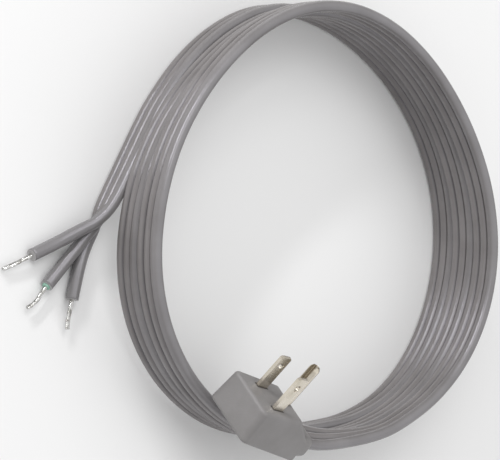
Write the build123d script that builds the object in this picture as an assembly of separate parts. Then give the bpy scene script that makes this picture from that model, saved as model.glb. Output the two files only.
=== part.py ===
from build123d import *
import math
import os

# Moulded appliance power cord, lying as a flat coil, plug on top and stripped leads beside it.
# Millimetres, +Z up from the surface that the coil lies on. The origin is under the middle
# of the whole part, and the coil's own middle lies coil_centre_x from it along X.

# Flat cord with three cores side by side
core_diameter = 4.7
core_pitch = 4.3
web_thickness = 3.0
conductor_diameter = 1.9
ground_sleeve_diameter = 3.3
cord_width = 2 * core_pitch + core_diameter

# Coil of two and three quarter turns, each turn standing on its edge on the one below
coil_centre_x = 25.33
coil_radius = 91.7
turn_web = 1.6
top_turn_start = -66.0
bottom_turn_end = 150.0
ramp_start = 172.0
ramp_end = 255.0

# Where the plug lies on the coil, and the free stretch between them
plug_angle = 234.8
plug_inset = 7.5
plug_rise = 12.1
exit_straight = 8.0
joining_straight = 15.0
hanging_angle = 271.0
hanging_inset = 2.8
hanging_rise = 0.4
bend_share = 0.45

# Where the tail peels off the lowest turn, and how far the leads spread beyond the split
peel_straight = 13.0
split_lean = 40.5
lead_straight = 8.0
lead_gap = 0.1

# Grounded plug, in its own frame: X from the blades to the cord, Z out along the prongs
prong_direction = (0.2846, 0.7208, 0.6319)
cord_exit_direction = (0.9558, -0.1641, -0.2436)

blade_spacing = 12.7
blade_width = 6.35
blade_thickness = 1.5
blade_length = 17.0
blade_tip_chamfer = 1.1
blade_hole_diameter = 3.2
blade_hole_height = 11.8
blade_root_depth = 14.6

ground_offset = 11.9
ground_diameter = 4.8
ground_length = 20.3
ground_wall = 0.9
ground_slot = 2.6
ground_root_depth = 7.0
ground_root_step = 0.3
ground_tail_overlap = 1.0

barrel_wall = 0.85
barrel_length = 6.0
barrel_gap = 0.4
barrel_depth = 12.9
barrel_neck_length = 2.0
barrel_neck_inset = 0.3

# Plug body, one moulding with its strain relief
body_depth = 16.2
body_depth_at_cord = 19.2
body_blunt_end = 12.5
body_face_end = 15.0
body_end = 26.5
body_slope_depth = 7.6
body_half_width = 12.3
body_half_width_at_cord = 10.2
body_edge_radius = 1.6
body_corner_radius = 2.6

relief_groove = 1.7
relief_neck_inset = 1.5
relief_end = 34.5
relief_half_width = 9.1
relief_half_depth = 5.3
relief_taper = 0.8
relief_edge_radius = 1.4
relief_neck_overlap = 1.0

# Hard carrier that holds the three prongs inside the moulding
carrier_top = 2.6
carrier_thickness = 3.6
carrier_wall = 2.2
carrier_corner_radius = 1.2

# Cord inside the moulding: the flat jacket ends, and three cores run on to the barrels
jacket_end = 22.0
inner_core_diameter = 3.9
inner_core_gap = 0.4

# Stripped end
sleeve_showing = 0.8
bare_lengths = {"line": 14.8, "ground": 13.2, "neutral": 12.6}
strip_nick_depth = 0.25
strip_nick_length = 0.5

coil_centre = Vector(coil_centre_x, 0, 0)


def around(radius, angle, height):
    turn = math.radians(angle)
    return Vector(radius * math.cos(turn), radius * math.sin(turn), height)


def plug_frame():
    z_axis = Vector(*prong_direction).normalized()
    x_axis = Vector(*cord_exit_direction)
    x_axis = (x_axis - z_axis * x_axis.dot(z_axis)).normalized()
    origin = around(coil_radius - plug_inset, plug_angle, 3 * cord_width + plug_rise)
    return Plane(origin=coil_centre + origin, x_dir=x_axis, z_dir=z_axis)


plug_plane = plug_frame()


def in_plug(x, y, z):
    return plug_plane.from_local_coords(Vector(x, y, z))


def cylinder_between(start, end, diameter):
    axis = end - start
    plane = Plane(origin=start, z_dir=axis)
    return extrude(plane * Circle(diameter / 2), amount=axis.length)


# Prongs, each stamped with its own crimp barrel

def crimp_barrel(x, y):
    outer = conductor_diameter / 2 + barrel_wall
    ring = Circle(outer) - Circle(conductor_diameter / 2)
    plane = Plane(origin=(x, y, -barrel_depth), x_dir=(0, 1, 0), z_dir=(1, 0, 0))
    return extrude(plane * ring, amount=barrel_length)


def blade(y):
    half = blade_width / 2
    outline = Polyline(
        (-half, -blade_root_depth),
        (half, -blade_root_depth),
        (half, blade_length - blade_tip_chamfer),
        (half - blade_tip_chamfer, blade_length),
        (-half + blade_tip_chamfer, blade_length),
        (-half, blade_length - blade_tip_chamfer),
        close=True,
    )
    side = Plane(origin=(0, y + blade_thickness / 2, 0), x_dir=(1, 0, 0), z_dir=(0, -1, 0))
    strip = extrude(side * make_face(outline), amount=blade_thickness)
    tip = strip.edges().filter_by(Axis.X).sort_by(Axis.Z)[-2:]
    strip = chamfer(tip, length=blade_thickness / 3)
    hole = Plane(origin=(0, y, blade_hole_height), z_dir=(0, 1, 0)) * Circle(blade_hole_diameter / 2)
    strip -= extrude(hole, amount=blade_thickness, both=True)
    neck_height = conductor_diameter + 2 * (barrel_wall - barrel_neck_inset)
    neck = Pos(half, y, -barrel_depth) * Box(barrel_neck_length, blade_thickness, neck_height)
    barrel_start = half + barrel_gap
    bore = Pos(barrel_start, y, -barrel_depth) * Rot(0, 90, 0)
    bore *= Cylinder(conductor_diameter / 2, barrel_length, align=(Align.CENTER, Align.CENTER, Align.MIN))
    return strip + neck + crimp_barrel(barrel_start, y) - bore


def channel(outer_radius, length):
    section = Circle(outer_radius) - Circle(ground_diameter / 2 - ground_wall)
    section -= Pos(-outer_radius, 0) * Rectangle(2 * outer_radius, ground_slot)
    return Pos(ground_offset, 0) * extrude(section, amount=length)


def ground_pin():
    outer = ground_diameter / 2
    pin = channel(outer, ground_length)
    dome_height = ground_length - outer
    rounding = Pos(ground_offset, 0, dome_height) * Sphere(outer)
    shaft = Pos(ground_offset, 0) * Cylinder(
        ground_diameter, dome_height, align=(Align.CENTER, Align.CENTER, Align.MIN)
    )
    pin = pin & (rounding + shaft)
    pin += channel(outer - ground_root_step, -ground_root_depth)
    tail_width = 2 * (outer - ground_wall)
    tail_bottom = -barrel_depth - conductor_diameter / 2
    tail_top = ground_tail_overlap - ground_root_depth
    tail = Pos(ground_offset + outer - ground_wall / 2, 0, (tail_bottom + tail_top) / 2)
    tail *= Box(ground_wall, tail_width, tail_top - tail_bottom)
    return pin + tail + crimp_barrel(ground_offset + outer, 0)


def prongs():
    return {
        "neutral_blade": blade(blade_spacing / 2),
        "line_blade": blade(-blade_spacing / 2),
        "ground_pin": ground_pin(),
    }


def blade_carrier(prong_solids):
    front = -blade_width / 2 - carrier_wall
    back = ground_offset + ground_diameter / 2 + carrier_wall
    width = blade_spacing + blade_thickness + 2 * carrier_wall
    block = Pos((front + back) / 2, 0, -carrier_top - carrier_thickness / 2)
    block *= Box(back - front, width, carrier_thickness)
    block = fillet(block.edges().filter_by(Axis.Z), radius=carrier_corner_radius)
    for prong in prong_solids.values():
        block -= prong
    return block


# Cores and conductors inside the plug

def inner_wires():
    wires = {}
    starts = {"line": -core_pitch, "ground": 0.0, "neutral": core_pitch}
    ends = {"line": -blade_spacing / 2, "ground": 0.0, "neutral": blade_spacing / 2}
    blade_barrel = blade_width / 2 + barrel_gap
    ground_barrel = ground_offset + ground_diameter / 2
    barrels = {"line": blade_barrel, "ground": ground_barrel, "neutral": blade_barrel}
    for name in starts:
        core_end = barrels[name] + barrel_length + inner_core_gap
        stop = Vector(core_end, ends[name], -barrel_depth)
        start = Vector(jacket_end, starts[name], -barrel_depth)
        core = cylinder_between(start, stop, inner_core_diameter)
        flat = Pos(jacket_end + core_pitch / 2, 0, -barrel_depth)
        flat *= Box(core_pitch, 2 * cord_width, cord_width)
        crimp_end = Vector(barrels[name], ends[name], -barrel_depth)
        strand = cylinder_between(crimp_end, stop, conductor_diameter)
        strand += cylinder_between(stop, start, conductor_diameter)
        wires["plug_core_" + name] = core - flat - strand
        wires["plug_conductor_" + name] = strand - flat
    return wires


# Plug moulding

def body_block():
    plan = make_face(Polyline(
        (-body_blunt_end, -body_half_width),
        (body_end, -body_half_width_at_cord),
        (body_end, body_half_width_at_cord),
        (-body_blunt_end, body_half_width),
        close=True,
    ))
    side = make_face(Polyline(
        (-body_blunt_end, 0),
        (-body_blunt_end, -body_depth),
        (body_end, -body_depth_at_cord),
        (body_end, -body_slope_depth),
        (body_face_end, 0),
        close=True,
    ))
    block = extrude(plan, amount=body_depth_at_cord, both=True)
    block = block & extrude(Plane.XZ * side, amount=body_half_width, both=True)
    upright = block.edges().filter_by(Axis.Z).sort_by(Axis.X)[:2]
    block = fillet(upright, radius=body_corner_radius)
    joint_face = block.faces().sort_by(Axis.X)[-1]
    rest = [edge for edge in block.edges() if edge not in joint_face.edges()]
    return fillet(rest, radius=body_edge_radius)


def relief_section(x, shrink):
    plane = Plane(origin=(x, 0, -barrel_depth), x_dir=(0, 1, 0), z_dir=(1, 0, 0))
    width = 2 * (relief_half_width - shrink)
    height = 2 * (relief_half_depth - shrink)
    return plane * RectangleRounded(width, height, relief_edge_radius * 2)


def strain_relief():
    neck_start = relief_section(body_end - relief_neck_overlap, relief_neck_inset)
    neck = extrude(neck_start, amount=relief_groove + 2 * relief_neck_overlap)
    start = body_end + relief_groove
    boot = loft([relief_section(start, 0), relief_section(relief_end, relief_taper)])
    boot = fillet(boot.faces().sort_by(Axis.X)[-1].edges(), radius=relief_edge_radius)
    return neck + boot


def flat_section(plane):
    return plane * SlotOverall(cord_width, core_diameter)


def plug_body(held):
    moulding = body_block() + strain_relief()
    slot = Plane(origin=(jacket_end, 0, -barrel_depth), x_dir=(0, 1, 0), z_dir=(1, 0, 0))
    moulding -= extrude(flat_section(slot), amount=relief_end)
    for solid in held:
        moulding -= solid
    return moulding


# Flat cord

def ring_point(angle, height):
    return around(coil_radius, angle, height)


def ring_tangent(angle):
    return around(1, angle + 90, 0)


def turn_profile(count):
    profile = Sketch()
    for turn in range(count):
        foot = turn * cord_width + core_diameter / 2
        for core in range(3):
            profile += Pos(0, foot + core * core_pitch) * Circle(core_diameter / 2)
        profile += Pos(0, foot + core_pitch) * Rectangle(web_thickness, 2 * core_pitch)
        if turn:
            profile += Pos(0, turn * cord_width) * Rectangle(turn_web, core_diameter)
    return Plane.XZ * Pos(coil_radius, 0) * profile


def ring_sector(count, start, end, foot):
    sector = revolve(turn_profile(count), axis=Axis.Z, revolution_arc=end - start)
    return Pos(0, 0, foot) * Rot(0, 0, start) * sector


def ramp():
    level = ring_sector(2, ramp_start, ramp_end, cord_width)
    first = ring_point(ramp_start, 0)
    last = ring_point(ramp_end, 0)
    run = last - first
    slope = -cord_width / run.length ** 2
    shear = Matrix([
        [1, 0, 0, 0],
        [0, 1, 0, 0],
        [slope * run.X, slope * run.Y, 1, -slope * run.dot(first)],
        [0, 0, 0, 1],
    ])
    return level.transform_geometry(shear)


def cord_coil():
    last_angle = top_turn_start + 360
    coil = ring_sector(3, top_turn_start, bottom_turn_end, 0)
    coil += ring_sector(2, bottom_turn_end, ramp_start, cord_width)
    coil += ramp()
    coil += ring_sector(2, ramp_end, last_angle, 0)
    return Pos(*coil_centre) * coil


def route(points):
    radii = []
    for before, corner, after in zip(points, points[1:], points[2:]):
        turn = math.radians((corner - before).get_angle(after - corner))
        shorter = min((corner - before).length, (after - corner).length)
        radii.append(bend_share * shorter / math.tan(turn / 2))
    return radii, FilletPolyline(*points, radius=radii)


def flat_cord(name, points, first_wide, last_wide):
    radii, path = route(points)
    print(name, "radii", [round(radius, 1) for radius in radii])
    sections = []
    for share in (0, 0.25, 0.5, 0.75, 1):
        along = path % share
        wide = first_wide * (1 - share) + last_wide * share
        wide = wide - along * wide.dot(along)
        sections.append(flat_section(Plane(origin=path @ share, x_dir=wide, z_dir=along)))
    solid = sweep(sections, path=path, multisection=True)
    section = sections[0].area
    print(name, "volume", round(solid.volume), "section times length", round(section * path.length))
    return solid


def plug_end_points():
    top_turn = 2.5 * cord_width
    joins = ring_point(top_turn_start, top_turn)
    before = joins - ring_tangent(top_turn_start) * joining_straight
    return [
        in_plug(relief_end, 0, -barrel_depth),
        in_plug(relief_end + exit_straight, 0, -barrel_depth),
        coil_centre + around(coil_radius - hanging_inset, hanging_angle, top_turn + hanging_rise),
        coil_centre + before,
        coil_centre + joins,
    ]


# The tail and leads are placed from where the tail leaves the coil: forwards, outwards, height

def from_peel(forwards, outwards, height):
    leaves = ring_point(bottom_turn_end, 0)
    forward = ring_tangent(bottom_turn_end) * forwards
    outward = around(1, bottom_turn_end, 0) * outwards
    return coil_centre + leaves + forward + outward + Vector(0, 0, height)


def tail_points():
    return [
        from_peel(0, 0, cord_width / 2),
        from_peel(peel_straight, 0, cord_width / 2),
        from_peel(27.3, -0.8, 6.5),
        from_peel(41.8, -0.8, 5.7),
    ]


# Split leads, each a core with its own conductor, lying spread on the surface

lead_diameter = core_pitch - lead_gap
lead_offset = {"line": core_pitch, "ground": 0.0, "neutral": -core_pitch}
lead_points = {
    "line": [(58.5, 4.6, 5.8), (67.2, 9.2, 3.2), (75.4, 15.7, 2.3)],
    "ground": [(58.7, -0.4, 4.3), (71.0, 0.8, 2.9), (82.2, 3.3, 2.2)],
    "neutral": [(58.0, -4.6, 2.5), (69.4, -6.8, 2.7), (80.7, -10.4, 2.2)],
}


def split_plane():
    before, split = tail_points()[-2:]
    along = (split - before).normalized()
    outward = around(1, bottom_turn_end, 0)
    lean = math.radians(split_lean)
    wide = Vector(0, 0, 1) * math.cos(lean) + outward * math.sin(lean)
    wide = wide - along * wide.dot(along)
    return Plane(origin=split, x_dir=wide, z_dir=along)


def lead(name):
    start = split_plane()
    points = [
        start.from_local_coords(Vector(lead_offset[name], 0, 0)),
        start.from_local_coords(Vector(lead_offset[name], 0, lead_straight)),
    ]
    points += [from_peel(*point) for point in lead_points[name]]
    radii, path = route(points)
    print(name, "lead radii", [round(radius, 1) for radius in radii], "length", round(path.length, 1))
    start = Plane(origin=path @ 0, z_dir=path % 0)
    jacket = sweep(start * Circle(lead_diameter / 2), path=path)
    conductor = sweep(start * Circle(conductor_diameter / 2), path=path)
    bare = cylinder_between(path @ 1, path @ 1 + (path % 1) * bare_lengths[name], conductor_diameter)
    shown = sleeve_showing if name == "ground" else 0
    nick_end = path @ 1 + (path % 1) * shown
    nick_start = nick_end - (path % 1) * strip_nick_length
    nick = cylinder_between(nick_start, nick_end, 2 * conductor_diameter)
    nick -= cylinder_between(nick_start, nick_end, conductor_diameter - 2 * strip_nick_depth)
    solids = {}
    if name == "ground":
        sleeve = sweep(start * Circle(ground_sleeve_diameter / 2), path=path)
        sleeve += cylinder_between(path @ 1, path @ 1 + (path % 1) * sleeve_showing, ground_sleeve_diameter)
        solids["ground_sleeve"] = sleeve - conductor - bare
        jacket -= sleeve
    else:
        jacket -= conductor
    solids[name + "_lead"] = jacket
    solids[name + "_conductor"] = conductor + bare - nick
    return solids


def build():
    parts = {}
    prong_solids = prongs()
    carrier = blade_carrier(prong_solids)
    wires = inner_wires()
    held = list(prong_solids.values()) + [carrier]
    held += [wires["plug_core_" + name] + wires["plug_conductor_" + name] for name in lead_points]
    plug_parts = {"plug_body": plug_body(held), "blade_carrier": carrier}
    plug_parts.update(prong_solids)
    plug_parts.update(wires)
    for name, solid in plug_parts.items():
        parts[name] = plug_plane.location * solid
    wide_at_plug = plug_plane.y_dir * -1
    upright = Vector(0, 0, 1)
    held_end = Plane(origin=in_plug(jacket_end, 0, -barrel_depth), x_dir=wide_at_plug, z_dir=plug_plane.x_dir)
    free = flat_cord("cord_at_plug", plug_end_points(), wide_at_plug, upright)
    parts["cord_at_plug"] = free + extrude(flat_section(held_end), amount=relief_end - jacket_end)
    parts["cord_coil"] = cord_coil()
    parts["cord_tail"] = flat_cord("cord_tail", tail_points(), upright, split_plane().x_dir)
    for name in lead_points:
        parts.update(lead(name))
    return parts


os.makedirs("parts", exist_ok=True)
for node, solid in build().items():
    print(node, "solids", len(solid.solids()), "volume", round(solid.volume, 1))
    export_step(solid, "parts/" + node + ".step")
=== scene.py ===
import math
import bpy
from mathutils import Matrix, Vector


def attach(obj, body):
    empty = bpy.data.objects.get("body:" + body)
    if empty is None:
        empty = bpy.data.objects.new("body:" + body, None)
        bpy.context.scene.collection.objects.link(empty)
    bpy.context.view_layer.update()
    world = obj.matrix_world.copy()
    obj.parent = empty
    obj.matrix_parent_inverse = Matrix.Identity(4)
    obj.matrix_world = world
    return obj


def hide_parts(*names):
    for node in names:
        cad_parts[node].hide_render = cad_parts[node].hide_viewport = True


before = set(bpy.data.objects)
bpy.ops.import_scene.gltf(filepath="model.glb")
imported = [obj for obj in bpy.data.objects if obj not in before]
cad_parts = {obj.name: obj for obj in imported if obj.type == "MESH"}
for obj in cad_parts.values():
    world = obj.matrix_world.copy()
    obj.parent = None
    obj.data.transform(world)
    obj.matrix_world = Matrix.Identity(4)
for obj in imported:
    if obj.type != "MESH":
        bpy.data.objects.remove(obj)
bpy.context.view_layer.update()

# A flat three-core appliance cord lying as a coil. Its moulded plug lies on the coil, and its
# other end is split into three stripped leads. The scene is in metres, in the row frame. Points
# written in millimetres go through mm(), from the coil's own middle on the floor, or in_plug().

MM = 0.001
COIL_CENTRE = Vector((25.33, 0, 0))
UPRIGHT = Vector((0, 0, 1))


def mm(x, y, z):
    return (COIL_CENTRE + Vector((x, y, z))) * MM


def mix(a, b, share):
    return a * (1 - share) + b * share


# Camera, at the photograph's viewing angle

IMAGE_WIDTH = 500
SENSOR_WIDTH = 36
EYE_DISTANCE = 1.5
PIXELS_PER_METRE = 2370
AIM_RIGHT = -0.0109
AIM_UP = -0.00146
VIEW_RIGHT = Vector((0.7604, 0, 0.6494))
VIEW_UP = Vector((0, 1, 0))
VIEW_BACK = Vector((-0.6494, 0, 0.7604))

camera_data = bpy.data.cameras.new("view")
camera_data.sensor_fit = "HORIZONTAL"
camera_data.sensor_width = SENSOR_WIDTH
camera_data.lens = SENSOR_WIDTH * EYE_DISTANCE * PIXELS_PER_METRE / IMAGE_WIDTH
camera = bpy.data.objects.new("view", camera_data)
aim = mm(0, 0, 0) + VIEW_RIGHT * AIM_RIGHT + VIEW_UP * AIM_UP
turn = Matrix((VIEW_RIGHT, VIEW_UP, VIEW_BACK)).transposed().to_4x4()
camera.matrix_world = Matrix.Translation(aim + VIEW_BACK * EYE_DISTANCE) @ turn
bpy.context.scene.collection.objects.link(camera)
bpy.context.scene.camera = camera
bpy.context.scene.view_settings.view_transform = "Standard"

# The flat cord's section, in metres. Each of the two webs between the cores has its own half
# thickness, and a small ridge runs along one side. The turns lie a little closer than it is wide.

CORE_RADIUS = 2.35 * MM
CORE_PITCH = 4.3 * MM
CORD_WIDTH = 2 * CORE_PITCH + 2 * CORE_RADIUS
CORE_HALF_WIDTH = 2.24 * MM
WEB_HALVES = (0.7 * MM, 0.95 * MM)
CORE_STEPS = 16
RIDGE_STEPS = (11, 12)
RIDGE_HEIGHT = 0.28 * MM
LAYER_STEP = CORD_WIDTH - 0.2 * MM

# Plug frame in millimetres: X from the blades to the cord, Z out along the prongs

PLUG_ORIGIN = mm(-48.5, -68.8, 52.0)
PLUG_X = Vector((0.955939, -0.163975, -0.243499))
PLUG_Y = Vector((-0.071904, 0.673409, -0.735765))
PLUG_Z = Vector((0.284622, 0.720855, 0.631948))
CORD_DEPTH = 12.9
MOUTH_X = 34.5
STRAIGHT_AFTER_MOUTH = 8
BLADE_HALF_PITCH = 6.35


def in_plug(x, y, z):
    return PLUG_ORIGIN + (PLUG_X * x + PLUG_Y * y + PLUG_Z * z) * MM


# The moulding widens from its face to its back and sits a little skewed on the blades

DRAFT = 0.1
DRAFT_DEPTH = 17
SIDE_SHIFT = 0.7
SKEW = 0.06
SKEW_CENTRE = -2
FACE_TILT_ACROSS = 0.06
FACE_TILT_ALONG = -0.03


def face_height(x, y):
    return FACE_TILT_ACROSS * y + FACE_TILT_ALONG * x


def moulded(x, y, z):
    drafted = y * (1 + DRAFT * min(1, max(0, -z / DRAFT_DEPTH)))
    skewed = drafted + SIDE_SHIFT - SKEW * (x - SKEW_CENTRE)
    return x, skewed, z + face_height(x, y)


def cord_in_plug(x):
    return in_plug(*moulded(x, 0, -CORD_DEPTH))


# The turns: angles in degrees along the cord from the plug, radii in millimetres. The cord winds
# down one layer on the ramp of each lap, from the third layer to the lowest.

LAPS_WITH_RAMP = 2
RING_RADIUS = 91.7
RING_STEP = 15
TOP_START = -66
RAMP_START = 172
RAMP_END = 255
BOTTOM_END = LAPS_WITH_RAMP * 360 + 145


def ramp_share(angle):
    half = math.radians(RAMP_END - RAMP_START) / 2
    middle = math.radians(RAMP_END + RAMP_START) / 2
    reach = math.radians(angle) - middle
    return (math.sin(half) + math.sin(reach)) / (2 * math.sin(half))


def turns_below(angle):
    count = LAPS_WITH_RAMP
    for lap in range(LAPS_WITH_RAMP):
        in_lap = angle - 360 * lap
        if in_lap >= RAMP_END:
            count -= 1
        elif in_lap > RAMP_START:
            count -= ramp_share(in_lap)
    return count


# The loose turns are a little egg-shaped, and the upper and lower layers lie shifted from the
# middle one, each its own way. Waves: how many round the coil, and their cosine and sine parts.
# Local bends: middle and reach in degrees, and how far inwards.

MEAN_RADIUS = 90.96
SHAPE_WAVES = ((1, -0.38, -1.96), (2, 0.78, 0), (3, -0.5, -1.83), (4, 0.54, 0.26))
SHIFT_WAVES = ((1, -0.93, 0), (2, -0.25, -0.25), (4, 0, -0.55))
LOCAL_BENDS = (
    (-66, 14, 1.0),
    (-3, 33, -0.9),
    (98, 24, -0.8),
    (150, 45, 0.7),
    (277, 23, 2.8),
    (485, 30, 2.4),
    (637, 23, 5.8),
    (815, 14, -1.3),
    (868, 18, 1.0),
)


def waves(turned, parts):
    return sum(
        cosine * math.cos(times * turned) + sine * math.sin(times * turned)
        for times, cosine, sine in parts
    )


def ring_radius(angle):
    turned = math.radians(angle)
    radius = MEAN_RADIUS + waves(turned, SHAPE_WAVES)
    radius += waves(turned, SHIFT_WAVES) * (turns_below(angle) - 1)
    for middle, reach, inwards in LOCAL_BENDS:
        beside = (angle - middle) / reach
        radius -= inwards * math.exp(-beside * beside)
    return radius


def on_ring(angle, radius):
    turned = math.radians(angle)
    return Vector((radius * math.cos(turned), radius * math.sin(turned), 0))


# Route of the flat cord: each entry is a point on its middle and the way its width points. The
# knots of the turns lie further out than the turns, because the curve cuts their corners.

KNOT_RADIUS_SHARE = math.cos(math.radians(RING_STEP / 2))
LAST_KNOT_HEIGHT = 32.9
LAST_KNOT_BACK = 15
LAST_KNOT_INWARDS = 2.6
HANGING_KNOT = (1.5, -88.4, 33.2)
TURNED_UPRIGHT = (0.45, 0.85)
TAIL_OUTWARD = Vector((-0.868, 0.496, 0))
TAIL = (
    ((-76.8, 40.1, 6.65), 0),
    ((-85.3, 25.7, 6.65), 0),
    ((-91.5, 15.3, 6.65), 0),
    ((-96.4, 7.8, 6.8), 5),
    ((-100.2, 2.2, 6.5), 26),
    ((-103.4, -2.0, 5.8), 50),
)


def ring_entry(angle):
    point = mm(*on_ring(angle, ring_radius(angle) / KNOT_RADIUS_SHARE))
    point.z = CORD_WIDTH / 2 + turns_below(angle) * LAYER_STEP
    return point, UPRIGHT


def last_knot_before_ring():
    join = math.radians(TOP_START)
    knot = on_ring(TOP_START, RING_RADIUS)
    knot += Vector((math.sin(join), -math.cos(join), 0)) * LAST_KNOT_BACK
    knot -= knot.normalized() * LAST_KNOT_INWARDS
    return mm(knot.x, knot.y, LAST_KNOT_HEIGHT)


def leaning(degrees):
    lean = math.radians(degrees)
    return UPRIGHT * math.cos(lean) + TAIL_OUTWARD * math.sin(lean)


def cord_route():
    at_plug = -PLUG_Y
    route = [
        (cord_in_plug(MOUTH_X), at_plug),
        (cord_in_plug(MOUTH_X + STRAIGHT_AFTER_MOUTH), at_plug),
        (mm(*HANGING_KNOT), mix(at_plug, UPRIGHT, TURNED_UPRIGHT[0])),
        (last_knot_before_ring(), mix(at_plug, UPRIGHT, TURNED_UPRIGHT[1])),
    ]
    route += [ring_entry(angle) for angle in range(TOP_START, BOTTOM_END, RING_STEP)]
    route += [(mm(*point), leaning(degrees)) for point, degrees in TAIL]
    return route


# Lines and frames along them. A guide line beside a line shows where the width points.

GUIDE_REACH = 5 * MM
CORD_CURVE_STEPS = 12
LEAD_CURVE_STEPS = 14
STRAND_CURVE_STEPS = 20


def smooth_line(points, steps):
    curve = bpy.data.curves.new("route", "CURVE")
    curve.dimensions = "3D"
    curve.resolution_u = steps
    spline = curve.splines.new("NURBS")
    spline.points.add(len(points) - 1)
    for knot, point in zip(spline.points, points):
        knot.co = (*point, 1)
    spline.order_u = 3
    spline.use_endpoint_u = True
    holder = bpy.data.objects.new("route", curve)
    mesh = bpy.data.meshes.new_from_object(holder)
    line = [vertex.co.copy() for vertex in mesh.vertices]
    bpy.data.objects.remove(holder)
    bpy.data.curves.remove(curve)
    bpy.data.meshes.remove(mesh)
    return line


def guide_beside(line, wide):
    return [point + wide * GUIDE_REACH for point in line]


def along_at(line, index):
    ahead = line[min(index + 1, len(line) - 1)]
    behind = line[max(index - 1, 0)]
    return (ahead - behind).normalized()


def frames_along(centre, guide):
    frames = []
    for index, point in enumerate(centre):
        along = along_at(centre, index)
        wide = guide[index] - point
        wide = (wide - along * wide.dot(along)).normalized()
        frames.append((point, along, wide, along.cross(wide)))
    return frames


# Sections, as points (across the width, outwards)

def flat_side(ridge):
    above, below = [math.asin(half / CORE_RADIUS) for half in WEB_HALVES]
    spans = (
        (1, 0, math.pi - above),
        (0, above, math.pi - below),
        (-1, below, math.pi),
    )
    side = []
    for core, first, last in spans:
        for step in range(CORE_STEPS + 1):
            angle = first + (last - first) * step / CORE_STEPS
            radius = CORE_RADIUS
            if ridge and core == 1 and step in RIDGE_STEPS:
                radius += RIDGE_HEIGHT
            beside_web = core == 0 or math.cos(angle) * core < 0
            half = CORE_HALF_WIDTH if beside_web else CORE_RADIUS
            across = core * CORE_PITCH + half * radius / CORE_RADIUS * math.cos(angle)
            side.append((across, radius * math.sin(angle)))
    return side


def flat_outline():
    inner = [(across, -out) for across, out in reversed(flat_side(False))]
    return flat_side(True)[:-1] + inner[:-1]


ROUND_CORNERS = 28


def round_outline(radius_across, radius_out):
    ring = []
    for step in range(ROUND_CORNERS):
        angle = 2 * math.pi * step / ROUND_CORNERS
        ring.append((radius_across * math.cos(angle), radius_out * math.sin(angle)))
    return ring


# Meshes

UV_LENGTH = 0.1


def tube_faces(rows, count, start=0):
    faces = []
    for low in range(start, start + (rows - 1) * count, count):
        for column in range(count):
            beside = (column + 1) % count
            faces.append((low + column, low + beside, low + count + beside, low + count + column))
    last = start + (rows - 1) * count
    faces.append(tuple(start + column for column in reversed(range(count))))
    faces.append(tuple(last + column for column in range(count)))
    return faces


def mesh_from(name, vertices, faces):
    mesh = bpy.data.meshes.new(name)
    mesh.from_pydata([tuple(vertex) for vertex in vertices], [], faces)
    mesh.update()
    return mesh


def add_object(name, mesh, materials):
    thing = bpy.data.objects.new(name, mesh)
    bpy.context.scene.collection.objects.link(thing)
    for material in materials:
        mesh.materials.append(material)
    return thing


def skin(name, frames, outline_at, materials):
    lengths = [0]
    for one, two in zip(frames, frames[1:]):
        lengths.append(lengths[-1] + (two[0] - one[0]).length)
    vertices = []
    for (point, along, wide, out), at in zip(frames, lengths):
        ring = outline_at(at, lengths[-1])
        vertices += [point + wide * across + out * outwards for across, outwards in ring]
    count = len(ring)
    mesh = mesh_from(name, vertices, tube_faces(len(frames), count))
    layer_uv = mesh.uv_layers.new(name="along")
    quads = (len(frames) - 1) * count
    for face in mesh.polygons:
        face.use_smooth = face.index < quads
        if face.index >= quads:
            face.material_index = 1
            continue
        row, column = divmod(face.index, count)
        corners = ((column, row), (column + 1, row), (column + 1, row + 1), (column, row + 1))
        for loop, (around, step) in zip(face.loop_indices, corners):
            layer_uv.data[loop].uv = (around / count, lengths[step] / UV_LENGTH)
    mesh.validate()
    mesh.update()
    thing = add_object(name, mesh, materials)
    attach(thing, "root")
    return thing


# Materials. The grooved jacket has painted shade, with a warm tint, in the four grooves between
# its
# cores: where each lies, as a share of the way round the section, and how much of the colour is
# left there.

PAINTED_GROOVE_SHADES = ((0.17, 0.34), (0.34, 0.34), (0.665, 0.26), (0.835, 0.26))
PAINTED_SHADE_REACH = 0.033
PAINTED_SHADE_TINT = (1, 0.97, 0.94)
WHITE = (1, 1, 1)
COLOUR_DETAIL = 4
COLOUR_FROM = 0.3
COLOUR_TO = 0.7
BUMP_DETAIL = 3


def new_material(name):
    material = bpy.data.materials.new(name)
    material.use_nodes = True
    tree = material.node_tree
    return material, tree, tree.nodes["Principled BSDF"]


def noise_node(tree, place, scale, detail):
    noise = tree.nodes.new("ShaderNodeTexNoise")
    noise.inputs["Scale"].default_value = scale
    noise.inputs["Detail"].default_value = detail
    tree.links.new(place.outputs["Object"], noise.inputs["Vector"])
    return noise.outputs["Fac"]


def two_colour_ramp(tree, low, low_at, high, high_at):
    ramp = tree.nodes.new("ShaderNodeValToRGB")
    first, second = ramp.color_ramp.elements
    first.color = (*low, 1)
    first.position = low_at
    second.color = (*high, 1)
    second.position = high_at
    return ramp


def painted_groove_shade_ramp(tree):
    ramp = two_colour_ramp(tree, WHITE, 0, WHITE, 1)
    stops = ramp.color_ramp.elements
    for groove, shade in PAINTED_GROOVE_SHADES:
        for offset, value in ((-PAINTED_SHADE_REACH, 1), (0, shade), (PAINTED_SHADE_REACH, 1)):
            stop = stops.new(groove + offset)
            stop.color = (*(value * tint for tint in PAINTED_SHADE_TINT), 1)
    return ramp


# Painted groove shade is multiplied into the colour; the Mix node's colours are its inputs 6 and 7
# and its output 2

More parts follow.
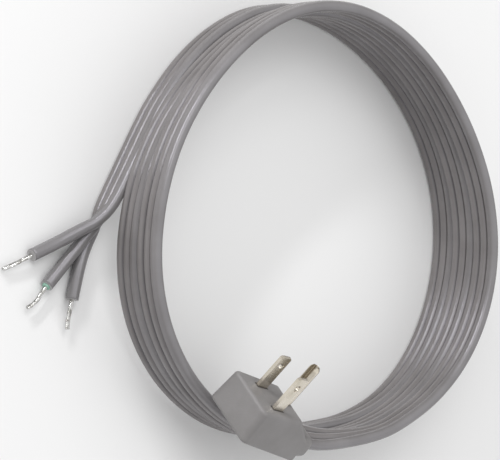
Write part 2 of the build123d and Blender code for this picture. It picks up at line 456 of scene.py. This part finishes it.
def paint_groove_shade(tree, colour):
    place = tree.nodes.new("ShaderNodeUVMap")
    place.uv_map = "along"
    parts = tree.nodes.new("ShaderNodeSeparateXYZ")
    shade = painted_groove_shade_ramp(tree)
    product = tree.nodes.new("ShaderNodeMix")
    product.data_type = "RGBA"
    product.blend_type = "MULTIPLY"
    product.inputs["Factor"].default_value = 1
    tree.links.new(place.outputs["UV"], parts.inputs["Vector"])
    tree.links.new(parts.outputs["X"], shade.inputs["Fac"])
    tree.links.new(colour, product.inputs[6])
    tree.links.new(shade.outputs["Color"], product.inputs[7])
    return product.outputs[2]


# The colour varies between low and high, and bump is the relief's scale, strength and distance

def noisy_material(name, low, high, scale, values, bump=None, with_groove_shade=False):
    material, tree, shader = new_material(name)
    place = tree.nodes.new("ShaderNodeTexCoord")
    ramp = two_colour_ramp(tree, low, COLOUR_FROM, high, COLOUR_TO)
    tree.links.new(noise_node(tree, place, scale, COLOUR_DETAIL), ramp.inputs["Fac"])
    colour = ramp.outputs["Color"]
    # Painted shade in the grooves between the cores
    if with_groove_shade:
        colour = paint_groove_shade(tree, colour)
    tree.links.new(colour, shader.inputs["Base Color"])
    for socket, value in values.items():
        shader.inputs[socket].default_value = value
    if bump:
        bump_scale, strength, distance = bump
        relief = tree.nodes.new("ShaderNodeBump")
        relief.inputs["Strength"].default_value = strength
        relief.inputs["Distance"].default_value = distance
        height = noise_node(tree, place, bump_scale, BUMP_DETAIL)
        tree.links.new(height, relief.inputs["Height"])
        tree.links.new(relief.outputs["Normal"], shader.inputs["Normal"])
    return material


def jacket_material(name, with_groove_shade):
    return noisy_material(
        name, (0.158, 0.152, 0.152), (0.196, 0.190, 0.192), 60,
        {"Roughness": 0.23, "Specular IOR Level": 0.75, "Specular Tint": (0.92, 0.90, 1.0, 1)},
        (700, 0.3, 0.0002), with_groove_shade,
    )


JACKET = jacket_material("grey_jacket", False)
JACKET_WITH_GROOVE_SHADE = jacket_material("grey_jacket_painted_groove_shade", True)
MOULDING = noisy_material(
    "grey_moulding", (0.192, 0.184, 0.180), (0.226, 0.218, 0.215), 90,
    {"Roughness": 0.48, "Specular Tint": (0.94, 0.93, 1.0, 1)},
    (1300, 0.3, 0.0002),
)
PLATED = noisy_material(
    "plated_prong", (0.58, 0.53, 0.43), (0.76, 0.71, 0.63), 160,
    {"Metallic": 1, "Roughness": 0.25},
    (1500, 0.15, 0.0001),
)
TINNED = noisy_material(
    "tinned_strand", (0.30, 0.29, 0.27), (0.90, 0.90, 0.89), 650,
    {"Metallic": 1, "Roughness": 0.18},
    (2500, 0.2, 0.0001),
)
SLEEVE = noisy_material(
    "green_sleeve", (0.22, 0.43, 0.33), (0.30, 0.52, 0.42), 300,
    {"Roughness": 0.4},
    (1500, 0.1, 0.0001),
)
CUT = noisy_material(
    "cut_jacket", (0.34, 0.33, 0.33), (0.46, 0.45, 0.45), 500,
    {"Roughness": 0.6},
    (1800, 0.3, 0.0001),
)
# Nearly black paint for the painted shadow at the blades' bases
BLADE_SHADOW_PAINT = noisy_material(
    "painted_blade_shadow", (0.035, 0.03, 0.028), (0.075, 0.068, 0.064), 900,
    {"Roughness": 0.7},
)

# Flat cord, from inside the moulding to its end, which shrinks between the leads

CORD_INSIDE_PLUG = 6
SPLIT_REACH = 5 * MM
SPLIT_SHRINK = 0.28


def build_flat_cord():
    route = cord_route()
    centre = smooth_line([point for point, wide in route], CORD_CURVE_STEPS)
    beside = [point + wide.normalized() * GUIDE_REACH for point, wide in route]
    guide = smooth_line(beside, CORD_CURVE_STEPS)
    inside = cord_in_plug(MOUTH_X - CORD_INSIDE_PLUG)
    frames = frames_along([inside] + centre, guide_beside([inside], -PLUG_Y) + guide)
    outline = flat_outline()

    def outline_at(at, whole):
        into_split = max(0, 1 - (whole - at) / SPLIT_REACH)
        shrink = 1 - SPLIT_SHRINK * into_split ** 2
        return [(across * shrink, out * shrink) for across, out in outline]

    cord = skin("flat_cord", frames, outline_at, (JACKET_WITH_GROOVE_SHADE, CUT))
    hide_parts("cord_at_plug", "cord_coil", "cord_tail")
    return cord, centre, frames


cord, cord_line, cord_frames = build_flat_cord()

# Leads, each an oval core that ends in bare strands: the side of the flat cord on which it starts,
# its points, the length of its bare strands, and how far their middle and end bend sideways, all
# in millimetres. A lead grows from the size of a core to its own, and its torn web edges with it.

LEADS = {
    "line": (
        1,
        ((-107.9, -0.5, 7.8), (-113.2, -3.4, 6.0), (-121.0, -7.3, 4.1), (-131.2, -11.5, 3.2)),
        14.8,
        (-0.3, 0.2),
    ),
    "ground": (
        0,
        ((-108.6, -8.0, 4.1), (-115.9, -15.8, 3.4), (-123.7, -23.7, 3.2)),
        13.2,
        (-1.0, 0.6),
    ),
    "neutral": (
        -1,
        ((-104.8, -9.4, 2.9), (-108.3, -18.7, 3.2), (-110.9, -29.3, 3.2)),
        12.6,
        (0.2, -0.5),
    ),
}
HIDDEN_LEAD = 9 * MM
HIDDEN_KNOTS = (1, 0.6, 0.2)
GROWTH_REACH = 18 * MM
CORE_START_RADIUS = 2.25 * MM
LEAD_HALF_WIDTH = 2.9 * MM
LEAD_HALF_HEIGHT = 2.6 * MM
TEARING_SPEED = 2
TORN_EDGE = {0: 0.09, 1: -0.03, ROUND_CORNERS // 2 - 1: -0.03}


def frame_before_end(distance):
    travelled = 0
    for one, two in zip(reversed(cord_frames[:-1]), reversed(cord_frames)):
        travelled += (two[0] - one[0]).length
        if travelled >= distance:
            return one
    return cord_frames[0]


def lead_line(side, points):
    control = []
    for share in HIDDEN_KNOTS:
        point, along, wide, out = frame_before_end(HIDDEN_LEAD * share)
        control.append(point + wide * (side * CORE_PITCH))
    control += [mm(*point) for point in points]
    return smooth_line(control, LEAD_CURVE_STEPS)


def lead_outline(at, whole):
    grown = min(1, at / GROWTH_REACH)
    ring = round_outline(
        mix(CORE_START_RADIUS, LEAD_HALF_WIDTH, grown),
        mix(CORE_START_RADIUS, LEAD_HALF_HEIGHT, grown),
    )
    torn = min(1, grown * TEARING_SPEED)
    outline = []
    for step, (across, out) in enumerate(ring):
        edge = 1 + torn * TORN_EDGE.get(step % (ROUND_CORNERS // 2), 0)
        outline.append((across * edge, out * edge))
    return outline


def build_lead(name, line):
    guide = guide_beside(line, frame_before_end(HIDDEN_LEAD)[2])
    frames = frames_along(line, guide)
    lead = skin(name + "_lead_jacket", frames, lead_outline, (JACKET, CUT))
    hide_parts(name + "_lead")
    return lead


# Bare strands, twisted round each other

STRANDS = 7
STRAND_CORNERS = 6
STRAND_RADIUS = 0.32 * MM
LAY_RADIUS = 0.6 * MM
LAY_LENGTH = 6.2 * MM
STRANDS_INSIDE_LEAD = 2 * MM
STRAND_KNOTS = (0.3, 0.62, 0.97)


def strand_line(line, bare, bends):
    along = (line[-1] - line[-2]).normalized()
    side = along.cross(UPRIGHT).normalized()
    reach = bare * MM
    points = [line[-1] - along * STRANDS_INSIDE_LEAD]
    for share, bend in zip(STRAND_KNOTS, (0, *bends)):
        points.append(line[-1] + along * (reach * share) + side * (bend * MM))
    return smooth_line(points, STRAND_CURVE_STEPS)


def strand_vertices(centre, start):
    vertices = []
    travelled = 0
    for step, point in enumerate(centre):
        along = along_at(centre, step)
        if step:
            travelled += (point - centre[step - 1]).length
        side = along.cross(UPRIGHT).normalized()
        over = side.cross(along)
        angle = 2 * math.pi * (start + travelled / LAY_LENGTH)
        out = side * math.cos(angle) + over * math.sin(angle)
        beside = along.cross(out)
        for corner in range(STRAND_CORNERS):
            turned = 2 * math.pi * corner / STRAND_CORNERS
            offset = out * math.cos(turned) + beside * math.sin(turned)
            vertices.append(point + out * LAY_RADIUS + offset * STRAND_RADIUS)
    return vertices


def build_strands(name, line, bare, bends):
    centre = strand_line(line, bare, bends)
    vertices = []
    faces = []
    for strand in range(STRANDS):
        faces += tube_faces(len(centre), STRAND_CORNERS, len(vertices))
        vertices += strand_vertices(centre, strand / STRANDS)
    mesh = mesh_from(name + "_strands", vertices, faces)
    for face in mesh.polygons:
        face.use_smooth = len(face.vertices) == 4
    strands = add_object(name + "_strands", mesh, (TINNED,))
    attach(strands, "root")
    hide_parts(name + "_conductor")
    return strands


SLEEVE_RADIUS = 1.65 * MM
SLEEVE_STANDS_OUT = 0.8 * MM


def build_sleeve(line):
    along = (line[-1] - line[-2]).normalized()
    inside = line + [line[-1] + along * SLEEVE_STANDS_OUT]
    frames = frames_along(inside, guide_beside(inside, UPRIGHT))
    outline = round_outline(SLEEVE_RADIUS, SLEEVE_RADIUS)
    sleeve = skin("green_sleeve", frames, lambda at, whole: outline, (SLEEVE, SLEEVE))
    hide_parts("ground_sleeve")
    return sleeve


for name, (side, points, bare, bends) in LEADS.items():
    line = lead_line(side, points)
    lead = build_lead(name, line)
    with_lead = [build_strands(name, line, bare, bends)]
    if name == "ground":
        with_lead.append(build_sleeve(line))

# CAD pieces that keep their form, by the start of their names

DRESSED = {
    "blade_carrier": MOULDING,
    "line_blade": PLATED,
    "neutral_blade": PLATED,
    "ground_pin": PLATED,
    "plug_core": JACKET,
    "plug_conductor": TINNED,
}
for node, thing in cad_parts.items():
    for start, material in DRESSED.items():
        if node.startswith(start):
            for holder in thing.material_slots:
                holder.link = "OBJECT"
                holder.material = material


# The moulding keeps its CAD form, moved by moulded()

def build_moulding():
    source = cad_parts["plug_body"]
    mesh = source.data.copy()
    for vertex in mesh.vertices:
        offset = (source.matrix_world @ vertex.co - PLUG_ORIGIN) / MM
        x, y, z = offset.dot(PLUG_X), offset.dot(PLUG_Y), offset.dot(PLUG_Z)
        vertex.co = in_plug(*moulded(x, y, z))
    mesh.update()
    mesh.materials.clear()
    moulding = add_object("plug_moulding", mesh, (MOULDING,))
    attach(moulding, "root")
    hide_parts("plug_body")


build_moulding()

# The moulding closes round the cord between two places behind its mouth, in millimetres

MOUTH_FILL = (3, 0.4)
MOUTH_HALF_LENGTH = 4.9 * MM
MOUTH_RADIUS = 2.4 * MM


def build_mouth():
    ends = [cord_in_plug(MOUTH_X - back) for back in MOUTH_FILL]
    frames = frames_along(ends, guide_beside(ends, -PLUG_Y))
    outline = [
        (across + math.copysign(MOUTH_HALF_LENGTH, across), out)
        for across, out in round_outline(MOUTH_RADIUS, MOUTH_RADIUS)
    ]
    mouth = skin("relief_mouth", frames, lambda at, whole: outline, (MOULDING, MOULDING))


build_mouth()

# Painted shadow: thin dark slabs on the face where the blades leave the moulding, in the plug's
# millimetres

SHADOW_HALF_LENGTH = 3.75
SHADOW_HALF_WIDTH = 1.25
SHADOW_HEIGHTS = (-0.05, 0.04)
SHADOW_SLAB_FACES = ((0, 3, 2, 1), (4, 5, 6, 7), (0, 1, 5, 4), (1, 2, 6, 5), (2, 3, 7, 6), (3, 0, 4, 7))


def build_painted_shadow(name, blade_y):
    corners = []
    for height in SHADOW_HEIGHTS:
        for along, across in ((-1, -1), (1, -1), (1, 1), (-1, 1)):
            x = along * SHADOW_HALF_LENGTH
            y = blade_y + across * SHADOW_HALF_WIDTH
            corners.append(in_plug(x, y, height + face_height(x, y)))
    shadow_slab = add_object(name, mesh_from(name, corners, SHADOW_SLAB_FACES), (BLADE_SHADOW_PAINT,))
    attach(shadow_slab, "root")


build_painted_shadow("line_blade_painted_shadow", -BLADE_HALF_PITCH)
build_painted_shadow("neutral_blade_painted_shadow", BLADE_HALF_PITCH)

# Floor, just under the part

FLOOR_REACH = 6
FLOOR_HEIGHT = -0.0001

floor_material, floor_tree, floor_shader = new_material("pale_floor")
floor_shader.inputs["Base Color"].default_value = (0.78, 0.78, 0.78, 1)
floor_shader.inputs["Roughness"].default_value = 0.9
floor_shader.inputs["Specular IOR Level"].default_value = 0.1
floor_corners = [
    (x * FLOOR_REACH, y * FLOOR_REACH, 0) for x, y in ((-1, -1), (1, -1), (1, 1), (-1, 1))
]
floor_mesh = mesh_from("floor", floor_corners, [(0, 1, 2, 3)])
floor = add_object("floor", floor_mesh, (floor_material,))
floor.location.z = FLOOR_HEIGHT

# Light: a world that is brighter above than below, and soft lamps

SKY_BELOW = (0.26, 0.255, 0.26)
SKY_WHITE_FROM = 0.75

world = bpy.data.worlds.new("studio")
world.use_nodes = True
sky_tree = world.node_tree
sky = sky_tree.nodes["Background"]
direction = sky_tree.nodes.new("ShaderNodeTexCoord")
direction_parts = sky_tree.nodes.new("ShaderNodeSeparateXYZ")
heights = two_colour_ramp(sky_tree, SKY_BELOW, 0, WHITE, SKY_WHITE_FROM)
sky_tree.links.new(direction.outputs["Generated"], direction_parts.inputs["Vector"])
sky_tree.links.new(direction_parts.outputs["Z"], heights.inputs["Fac"])
sky_tree.links.new(heights.outputs["Color"], sky.inputs["Color"])
sky.inputs["Strength"].default_value = 1.0
bpy.context.scene.world = world


def soft_light(name, place, target, width, height, power):
    light = bpy.data.lights.new(name, "AREA")
    light.shape = "RECTANGLE"
    light.size = width
    light.size_y = height
    light.energy = power
    lamp = bpy.data.objects.new(name, light)
    lamp.location = place
    lamp.rotation_euler = (Vector(target) - Vector(place)).to_track_quat("-Z", "Y").to_euler()
    bpy.context.scene.collection.objects.link(lamp)


soft_light("key", (-0.5, 0.9, 1.3), (0, 0, 0), 0.9, 0.9, 7)
soft_light("low", (-1.05, 1.3, 0.65), (0, 0, 0.02), 0.9, 0.08, 13)
soft_light("side", (0.72, -0.75, 0.4), (-0.02, -0.07, 0.05), 0.8, 0.8, 1)
